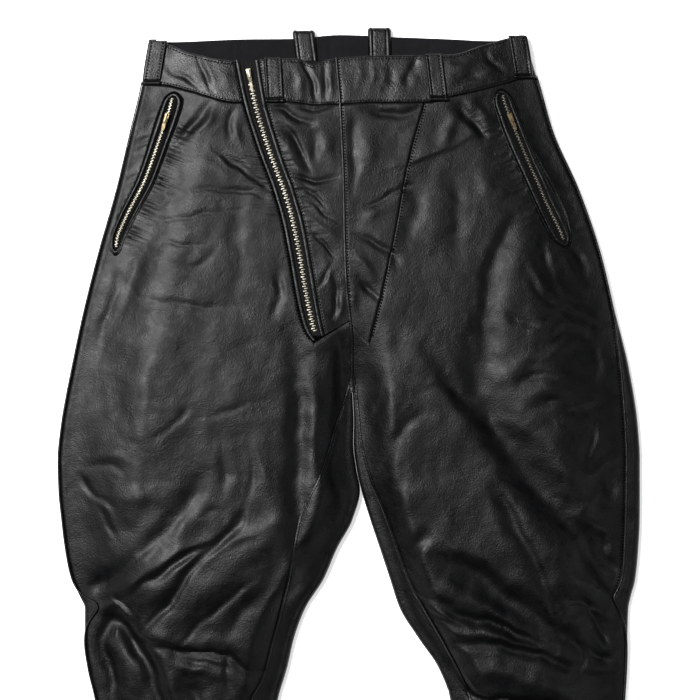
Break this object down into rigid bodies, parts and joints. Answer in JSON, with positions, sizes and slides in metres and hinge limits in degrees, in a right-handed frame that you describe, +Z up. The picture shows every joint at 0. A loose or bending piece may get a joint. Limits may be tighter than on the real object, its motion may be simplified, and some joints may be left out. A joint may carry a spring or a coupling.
{
  "type": "leather jodhpurs",
  "caption": "Black leather riding breeches laid flat on their back, with flared thighs, a slanting front zip, slanting zip pockets, belt loops and corded outseams.",
  "frame": {"origin": "middle of the garment's box, on the floor it lies on", "axes": "+X towards the wearer's left, +Y towards the waist, +Z up from the floor, square to the laid-out front"},
  "size_m": [0.6147, 1.016, 0.0439],
  "materials": {
    "leather": "semi-gloss black nappa with soft creases",
    "facing": "black woven cotton",
    "zip_tape": "black woven tape with metal teeth",
    "zip_metal": "pale worn nickel with a warm cast"
  },
  "bodies": {
    "garment": {"front_right": "leather", "front_left": "leather", "fly_panel": "leather", "front_left_inset": "leather", "back_right": "leather", "back_left": "leather", "calf_right": "leather", "calf_left": "leather", "waistband_front_right": "leather", "waistband_fly": "leather", "waistband_front_left": "leather", "waistband_back": "leather", "waist_facing": "facing", "loop_side_right": "leather", "loop_fly": "leather", "loop_front_left": "leather", "loop_side_left": "leather", "loop_back_right": "leather", "loop_back_left": "leather", "piping_right": "leather", "piping_left": "leather", "fly_welt_outer": "leather", "fly_welt_inner": "leather", "fly_zip": "zip_tape", "fly_slider": "zip_metal", "pocket_welt_right": "leather", "pocket_zip_right": "zip_tape", "pocket_slider_right": "zip_metal", "pocket_welt_left": "leather", "pocket_zip_left": "zip_tape", "pocket_slider_left": "zip_metal"},
    "fly_pull": {"fly_pull": "zip_metal"},
    "pocket_pull_right": {"pocket_pull_right": "zip_metal"},
    "pocket_pull_left": {"pocket_pull_left": "zip_metal"}
  },
  "joints": [
    {"name": "fly_pull_hinge", "type": "hinge", "parent": "garment", "child": "fly_pull", "pos_m": [-0.10419, 0.45831, 0.02412], "axis": [-0.9831, -0.1823, 0.0164], "range_deg": [0, 160]},
    {"name": "pocket_pull_right_hinge", "type": "hinge", "parent": "garment", "child": "pocket_pull_right", "pos_m": [-0.19174, 0.41208, 0.02105], "axis": [-0.9459, 0.2756, -0.1714], "range_deg": [0, 160]},
    {"name": "pocket_pull_left_hinge", "type": "hinge", "parent": "garment", "child": "pocket_pull_left", "pos_m": [0.17116, 0.41211, 0.02192], "axis": [-0.9237, -0.3413, 0.1743], "range_deg": [0, 160]}
  ]
}
